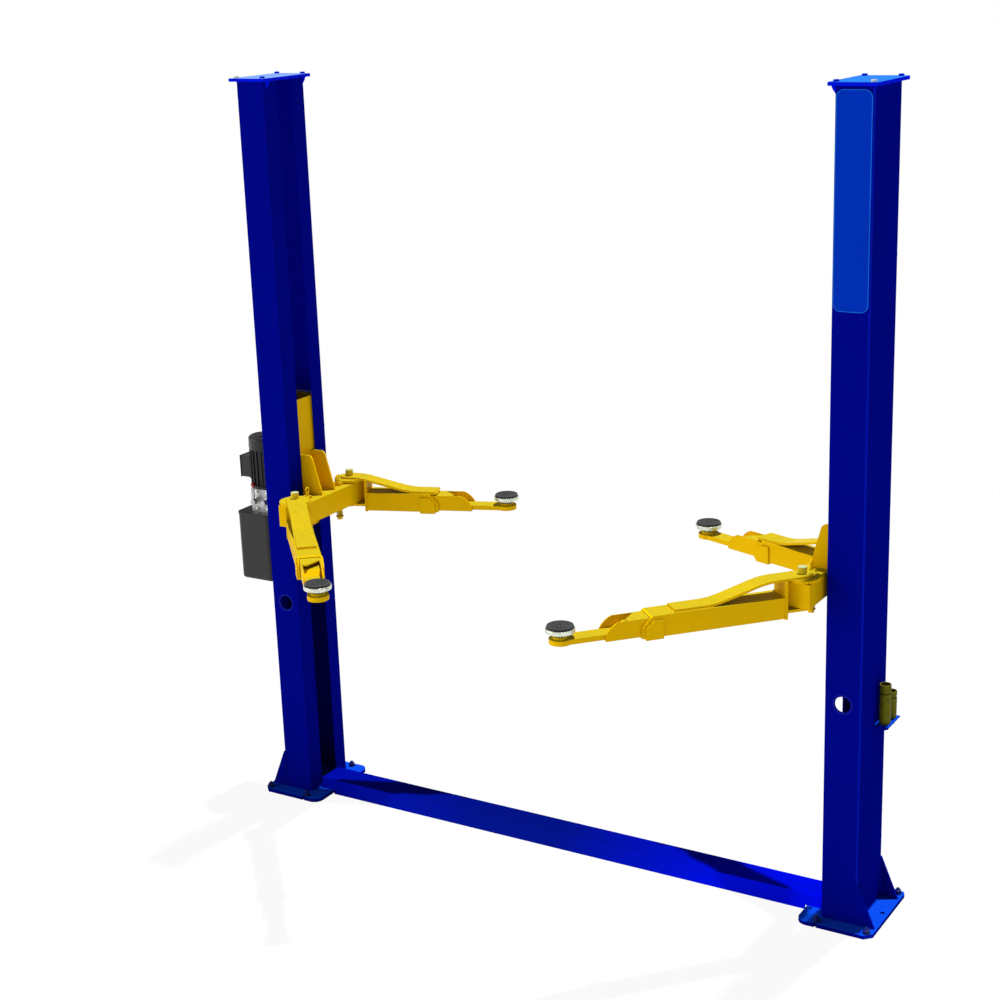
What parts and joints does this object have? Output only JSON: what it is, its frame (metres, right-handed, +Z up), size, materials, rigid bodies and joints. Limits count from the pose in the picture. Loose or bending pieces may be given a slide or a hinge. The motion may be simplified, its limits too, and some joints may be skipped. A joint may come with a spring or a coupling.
{
  "type": "two post car lift",
  "caption": "Two bent steel posts on bolted base plates joined by a floor cover, with sliding carriages and telescopic swing arms that end in rubber pads.",
  "frame": {"origin": "on the floor, midway between the two free anchor holes and midway between the posts", "axes": "+Z up, +X towards the post with the sign board, +Y away from the front of the lift"},
  "size_m": [3.229, 1.5408, 3.4],
  "materials": {
    "post_blue": "gloss",
    "arm_yellow": "gloss",
    "sign_blue": "gloss",
    "zinc_steel": "satin",
    "sleeve_zinc": "satin",
    "pad_rubber": "matte",
    "guide_plastic": "matte",
    "unit_black": "satin",
    "valve_aluminium": "satin",
    "cylinder_grey": "satin"
  },
  "bodies": {
    "root": {"floor_cover": "post_blue", "anchor_bolts": "zinc_steel", "sign_panel": "sign_blue", "pump_block": "valve_aluminium", "oil_tank": "unit_black", "motor": "unit_black", "right_column": "post_blue", "right_cap_plate": "post_blue", "right_base_plate": "post_blue", "right_base_gussets": "post_blue", "right_adapter_rack": "post_blue", "right_adapter_sleeves": "sleeve_zinc", "right_lift_cylinder": "cylinder_grey", "left_column": "post_blue", "left_cap_plate": "post_blue", "left_base_plate": "post_blue", "left_base_gussets": "post_blue", "left_adapter_rack": "post_blue", "left_adapter_sleeves": "sleeve_zinc", "left_lift_cylinder": "cylinder_grey"},
    "right_carriage": {"right_carriage_frame": "arm_yellow", "right_slide_blocks": "guide_plastic", "right_arm_bracket": "arm_yellow", "right_arm_pins": "zinc_steel"},
    "right_front_arm": {"right_front_arm": "arm_yellow"},
    "right_front_mid": {"right_front_mid_stage": "arm_yellow"},
    "right_front_tip": {"right_front_tip_stage": "arm_yellow", "right_front_pad_screw": "zinc_steel", "right_front_pad": "pad_rubber"},
    "right_front_lock": {"right_front_arm_lock": "arm_yellow"},
    "right_rear_arm": {"right_rear_arm": "arm_yellow"},
    "right_rear_mid": {"right_rear_mid_stage": "arm_yellow"},
    "right_rear_tip": {"right_rear_tip_stage": "arm_yellow", "right_rear_pad_screw": "zinc_steel", "right_rear_pad": "pad_rubber"},
    "right_rear_lock": {"right_rear_arm_lock": "arm_yellow"},
    "left_carriage": {"left_carriage_frame": "arm_yellow", "left_slide_blocks": "guide_plastic", "left_arm_bracket": "arm_yellow", "left_arm_pins": "zinc_steel"},
    "left_front_arm": {"left_front_arm": "arm_yellow"},
    "left_front_mid": {"left_front_mid_stage": "arm_yellow"},
    "left_front_tip": {"left_front_tip_stage": "arm_yellow", "left_front_pad_screw": "zinc_steel", "left_front_pad": "pad_rubber"},
    "left_front_lock": {"left_front_arm_lock": "arm_yellow"},
    "left_rear_arm": {"left_rear_arm": "arm_yellow"},
    "left_rear_mid": {"left_rear_mid_stage": "arm_yellow"},
    "left_rear_tip": {"left_rear_tip_stage": "arm_yellow", "left_rear_pad_screw": "zinc_steel", "left_rear_pad": "pad_rubber"},
    "left_rear_lock": {"left_rear_arm_lock": "arm_yellow"}
  },
  "joints": [
    {"name": "right_carriage_lift", "type": "slide", "parent": "root", "child": "right_carriage", "axis": [0, 0, 1], "range_m": [-1.27, 0.43]},
    {"name": "right_front_arm_swing", "type": "hinge", "parent": "right_carriage", "child": "right_front_arm", "pos_m": [1.236, -0.214, 1.45], "axis": [0, 0, 1], "range_deg": [-40, 40]},
    {"name": "right_front_arm_extend", "type": "slide", "parent": "right_front_arm", "child": "right_front_mid", "axis": [-0.6691, -0.7431, 0], "range_m": [-0.13, 0.08]},
    {"name": "right_front_arm_reach", "type": "slide", "parent": "right_front_mid", "child": "right_front_tip", "axis": [-0.6691, -0.7431, 0], "range_m": [-0.1, 0.06]},
    {"name": "right_front_arm_lock_pull", "type": "slide", "parent": "right_carriage", "child": "right_front_lock", "axis": [0, 0, 1], "range_m": [0, 0.015]},
    {"name": "right_rear_arm_swing", "type": "hinge", "parent": "right_carriage", "child": "right_rear_arm", "pos_m": [1.236, 0.214, 1.45], "axis": [0, 0, -1], "range_deg": [-11.5, 68.5]},
    {"name": "right_rear_arm_extend", "type": "slide", "parent": "right_rear_arm", "child": "right_rear_mid", "axis": [-0.9426, 0.3338, 0], "range_m": [-0.13, 0.1]},
    {"name": "right_rear_arm_reach", "type": "slide", "parent": "right_rear_mid", "child": "right_rear_tip", "axis": [-0.9426, 0.3338, 0], "range_m": [-0.06, 0.2]},
    {"name": "right_rear_arm_lock_pull", "type": "slide", "parent": "right_carriage", "child": "right_rear_lock", "axis": [0, 0, 1], "range_m": [0, 0.015]},
    {"name": "left_carriage_lift", "type": "slide", "parent": "root", "child": "left_carriage", "axis": [0, 0, 1], "range_m": [-1.27, 0.43]},
    {"name": "left_front_arm_swing", "type": "hinge", "parent": "left_carriage", "child": "left_front_arm", "pos_m": [-1.236, -0.214, 1.45], "axis": [0, 0, -1], "range_deg": [-40, 40]},
    {"name": "left_front_arm_extend", "type": "slide", "parent": "left_front_arm", "child": "left_front_mid", "axis": [0.6691, -0.7431, 0], "range_m": [-0.13, 0.08]},
    {"name": "left_front_arm_reach", "type": "slide", "parent": "left_front_mid", "child": "left_front_tip", "axis": [0.6691, -0.7431, 0], "range_m": [-0.1, 0.06]},
    {"name": "left_front_arm_lock_pull", "type": "slide", "parent": "left_carriage", "child": "left_front_lock", "axis": [0, 0, 1], "range_m": [0, 0.015]},
    {"name": "left_rear_arm_swing", "type": "hinge", "parent": "left_carriage", "child": "left_rear_arm", "pos_m": [-1.236, 0.214, 1.45], "axis": [0, 0, 1], "range_deg": [-11.5, 68.5]},
    {"name": "left_rear_arm_extend", "type": "slide", "parent": "left_rear_arm", "child": "left_rear_mid", "axis": [0.9426, 0.3338, 0], "range_m": [-0.13, 0.1]},
    {"name": "left_rear_arm_reach", "type": "slide", "parent": "left_rear_mid", "child": "left_rear_tip", "axis": [0.9426, 0.3338, 0], "range_m": [-0.06, 0.2]},
    {"name": "left_rear_arm_lock_pull", "type": "slide", "parent": "left_carriage", "child": "left_rear_lock", "axis": [0, 0, 1], "range_m": [0, 0.015]}
  ],
  "couplings": [
    {"joint": "left_carriage_lift", "follows": "right_carriage_lift", "ratio": 1}
  ]
}
